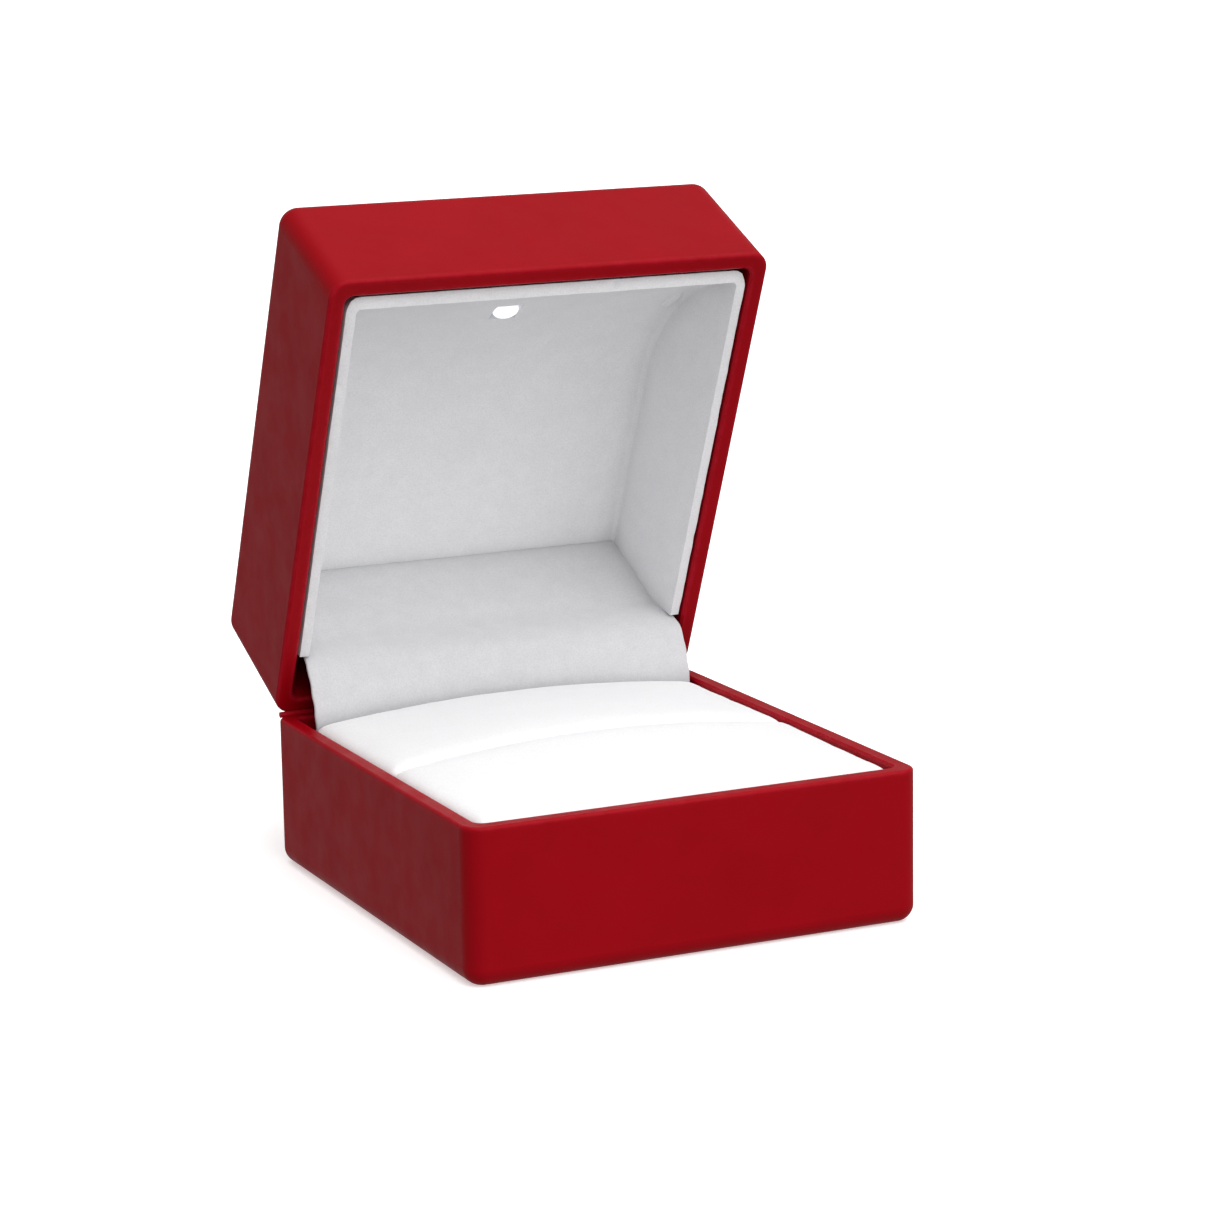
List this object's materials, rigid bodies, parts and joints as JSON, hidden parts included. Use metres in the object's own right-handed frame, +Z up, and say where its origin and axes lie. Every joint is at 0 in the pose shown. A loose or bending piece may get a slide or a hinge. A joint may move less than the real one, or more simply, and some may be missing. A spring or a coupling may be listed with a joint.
{
  "type": "ring box",
  "caption": "Square hinged jewellery box for one ring, open: lacquered shells, slotted cushion insert, velvet lined lid with a small lamp and a switch.",
  "frame": {"origin": "centre of the base's flat underside", "axes": "+X across the front to the right, +Y to the back where the hinge is, +Z up; the rest pose is the fully open lid"},
  "size_m": [0.06, 0.0831, 0.0866],
  "materials": {
    "red_lacquer": "satin soft-touch lacquer on moulded ABS",
    "white_velvet": "white velveteen over foam, short pile",
    "grey_velvet": "pale grey velveteen over board, short pile",
    "greyboard": "plain pressed board",
    "black_plastic": "fine moulded",
    "ivory_plastic": "smooth moulded",
    "hinge_steel": "stamped, nickel plated",
    "spring_steel": "drawn wire",
    "contact_brass": "nickel plated strip",
    "cell_steel": "button cell can",
    "lamp_lens": "clear epoxy, lit white, emissive",
    "circuit_board": "solder resist",
    "red_insulation": "pvc",
    "black_insulation": "pvc"
  },
  "bodies": {
    "base": {"base_shell": "red_lacquer", "insert_board": "greyboard", "front_cushion": "white_velvet", "rear_cushion": "white_velvet", "battery_case": "black_plastic", "battery_cover": "black_plastic", "button_cells": "cell_steel", "battery_contacts": "contact_brass", "switch_body": "black_plastic", "switch_cap": "black_plastic", "switch_terminals": "contact_brass", "switch_spring": "spring_steel", "base_hinge_leaf": "hinge_steel", "hinge_pin": "hinge_steel", "base_hinge_screws": "hinge_steel", "hinge_spring": "spring_steel", "hinge_flap": "grey_velvet", "switch_lead": "red_insulation", "base_lead_red": "red_insulation", "base_lead_black": "black_insulation", "hinge_leads": "red_insulation"},
    "lid": {"lid_shell": "red_lacquer", "lid_top_panel": "grey_velvet", "lid_slope_panel": "grey_velvet", "lid_side_panel_left": "grey_velvet", "lid_side_panel_right": "grey_velvet", "lid_back_board": "greyboard", "lid_hinge_leaf": "hinge_steel", "lid_hinge_screws": "hinge_steel", "lamp_housing": "black_plastic", "lamp": "lamp_lens", "lamp_board": "circuit_board", "lamp_resistor": "black_plastic", "lid_lead_red": "red_insulation", "lid_lead_black": "black_insulation"},
    "plunger": {"switch_plunger": "ivory_plastic"}
  },
  "joints": [
    {"name": "lid_hinge", "type": "hinge", "parent": "base", "child": "lid", "pos_m": [0, 0.03235, 0.01965], "axis": [1, 0, 0], "range_deg": [0, 66], "deforming": ["hinge_flap", "hinge_spring", "hinge_leads"]},
    {"name": "switch_press", "type": "slide", "parent": "base", "child": "plunger", "axis": [0, 0, -1], "range_m": [0, 0.0008], "stiffness_N_per_m": 20, "deforming": ["switch_spring"]}
  ],
  "couplings": [
    {"joint": "switch_press", "follows": "lid_hinge", "m_per_rad": 0.0006944}
  ]
}
